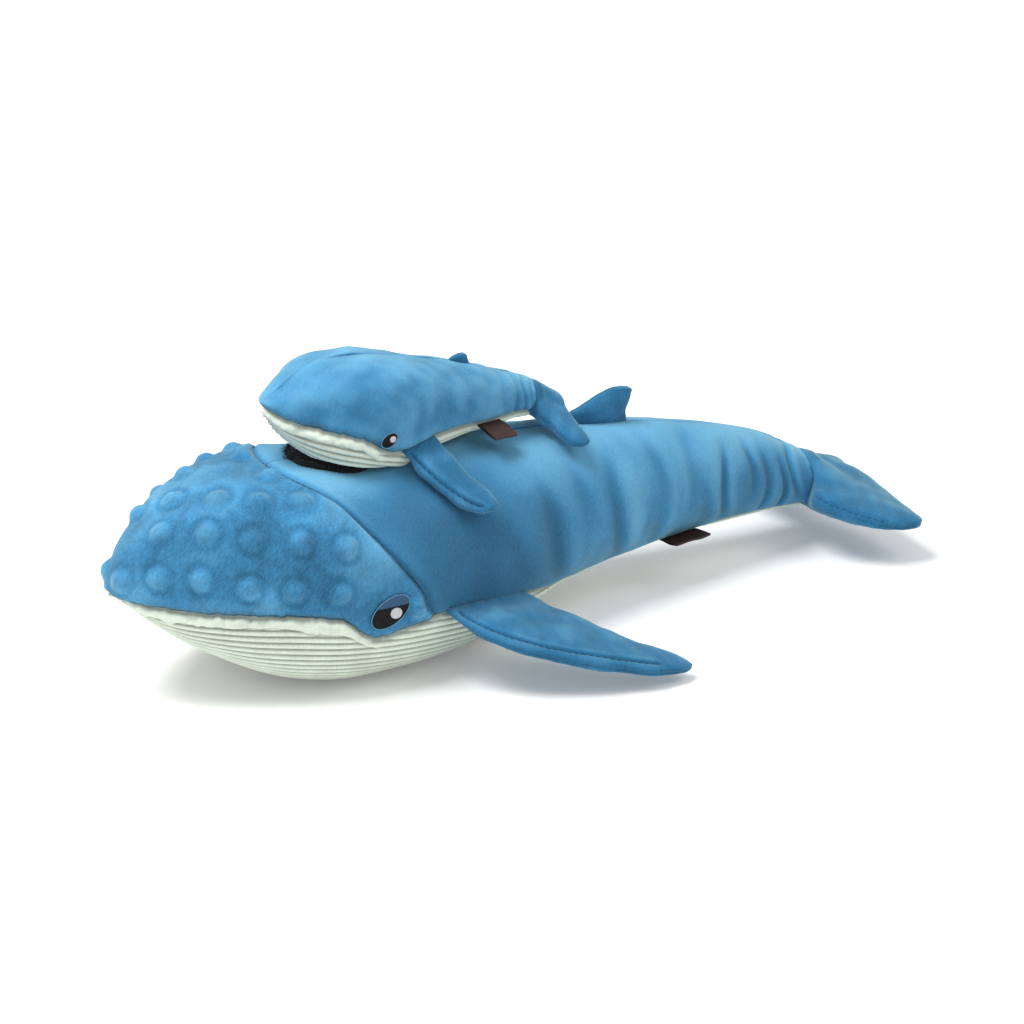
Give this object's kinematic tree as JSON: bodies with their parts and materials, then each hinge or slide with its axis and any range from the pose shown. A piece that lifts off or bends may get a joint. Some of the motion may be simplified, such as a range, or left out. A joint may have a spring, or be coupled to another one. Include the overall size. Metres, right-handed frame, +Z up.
{
  "type": "plush whale",
  "caption": "Plush mother whale with padded fins and flukes, carrying a small calf that pulls off a round hook-and-loop patch on her back.",
  "frame": {"origin": "middle of the flat on which the mother's belly rests", "axes": "+X from the nose towards the tail, +Z up, the whale's left flank towards -Y"},
  "size_m": [0.4179, 0.2294, 0.1433],
  "materials": {
    "velour": "soft short-pile polyester velour, mid blue",
    "dotted_velour": "short-pile polyester velour with raised round dots, mid blue",
    "corduroy": "fine ribbed plush corduroy, pale mint",
    "filling": "loose polyester fibre filling, white",
    "loop_tape": "fuzzy loop tape, black",
    "hook_tape": "fine moulded hook tape, black",
    "thread_black": "satin-stitched embroidery thread, black",
    "thread_navy": "satin-stitched embroidery thread, grey navy",
    "thread_light": "satin-stitched embroidery thread, pale grey",
    "woven_label": "woven tape, dark brown, bare"
  },
  "bodies": {
    "mother": {"mother_head_panel": "dotted_velour", "mother_back_left": "velour", "mother_back_right": "velour", "mother_belly_panel": "corduroy", "mother_filling": "filling", "mother_loop_patch": "loop_tape", "mother_label": "woven_label", "mother_left_eye_pupil": "thread_black", "mother_left_eye_lid": "thread_navy", "mother_left_eye_glint": "thread_light", "mother_right_eye_pupil": "thread_black", "mother_right_eye_lid": "thread_navy", "mother_right_eye_glint": "thread_light"},
    "mother_left_fin": {"mother_left_fin_top": "velour", "mother_left_fin_under": "velour", "mother_left_fin_filling": "filling"},
    "mother_right_fin": {"mother_right_fin_top": "velour", "mother_right_fin_under": "velour", "mother_right_fin_filling": "filling"},
    "mother_dorsal_fin": {"mother_dorsal_fin_left": "velour", "mother_dorsal_fin_right": "velour", "mother_dorsal_fin_filling": "filling"},
    "mother_flukes": {"mother_flukes_top": "velour", "mother_flukes_under": "velour", "mother_flukes_filling": "filling"},
    "calf": {"calf_back_left": "velour", "calf_back_right": "velour", "calf_belly_panel": "corduroy", "calf_filling": "filling", "calf_hook_patch": "hook_tape", "calf_label": "woven_label", "calf_left_eye_pupil": "thread_black", "calf_left_eye_glint": "thread_light", "calf_right_eye_pupil": "thread_black", "calf_right_eye_glint": "thread_light"},
    "calf_left_fin": {"calf_left_fin_top": "velour", "calf_left_fin_under": "velour", "calf_left_fin_filling": "filling"},
    "calf_right_fin": {"calf_right_fin_top": "velour", "calf_right_fin_under": "velour", "calf_right_fin_filling": "filling"},
    "calf_dorsal_fin": {"calf_dorsal_fin_left": "velour", "calf_dorsal_fin_right": "velour"},
    "calf_flukes": {"calf_flukes_top": "velour", "calf_flukes_under": "velour", "calf_flukes_filling": "filling"}
  },
  "joints": [
    {"name": "mother_left_fin_seam", "type": "hinge", "parent": "mother", "child": "mother_left_fin", "pos_m": [0.03154, -0.05274, 0.03137], "axis": [-0.9721, -0.1988, 0.1245], "range_deg": [0, 45], "stiffness_Nm_per_rad": 0.1},
    {"name": "mother_right_fin_seam", "type": "hinge", "parent": "mother", "child": "mother_right_fin", "pos_m": [0.03154, 0.05274, 0.03137], "axis": [0.9721, -0.1988, -0.1245], "range_deg": [0, 45], "stiffness_Nm_per_rad": 0.1},
    {"name": "mother_dorsal_fin_seam", "type": "hinge", "parent": "mother", "child": "mother_dorsal_fin", "pos_m": [0.1197, 0, 0.08577], "axis": [0.9911, 0, -0.1332], "range_deg": [-25, 25], "stiffness_Nm_per_rad": 0.02},
    {"name": "mother_tail_seam", "type": "hinge", "parent": "mother", "child": "mother_flukes", "pos_m": [0.247, 0, 0.03275], "axis": [0, -1, 0], "range_deg": [-15, 30], "stiffness_Nm_per_rad": 0.15},
    {"name": "calf_pull_off", "type": "slide", "parent": "mother", "child": "calf", "axis": [0, 0, 1], "range_m": [0, 0.12]},
    {"name": "calf_left_fin_seam", "type": "hinge", "parent": "calf", "child": "calf_left_fin", "pos_m": [0.01148, -0.02459, 0.10341], "axis": [-0.969, -0.181, -0.168], "range_deg": [0, 60], "stiffness_Nm_per_rad": 0.02},
    {"name": "calf_right_fin_seam", "type": "hinge", "parent": "calf", "child": "calf_right_fin", "pos_m": [0.01148, 0.02459, 0.10341], "axis": [0.969, -0.181, 0.168], "range_deg": [0, 60], "stiffness_Nm_per_rad": 0.02},
    {"name": "calf_dorsal_fin_seam", "type": "hinge", "parent": "calf", "child": "calf_dorsal_fin", "pos_m": [0.04584, 0, 0.12968], "axis": [0.9545, 0, -0.2983], "range_deg": [-30, 30], "stiffness_Nm_per_rad": 0.01},
    {"name": "calf_tail_seam", "type": "hinge", "parent": "calf", "child": "calf_flukes", "pos_m": [0.08478, 0, 0.1059], "axis": [0, -1, 0], "range_deg": [0, 35], "stiffness_Nm_per_rad": 0.02}
  ]
}
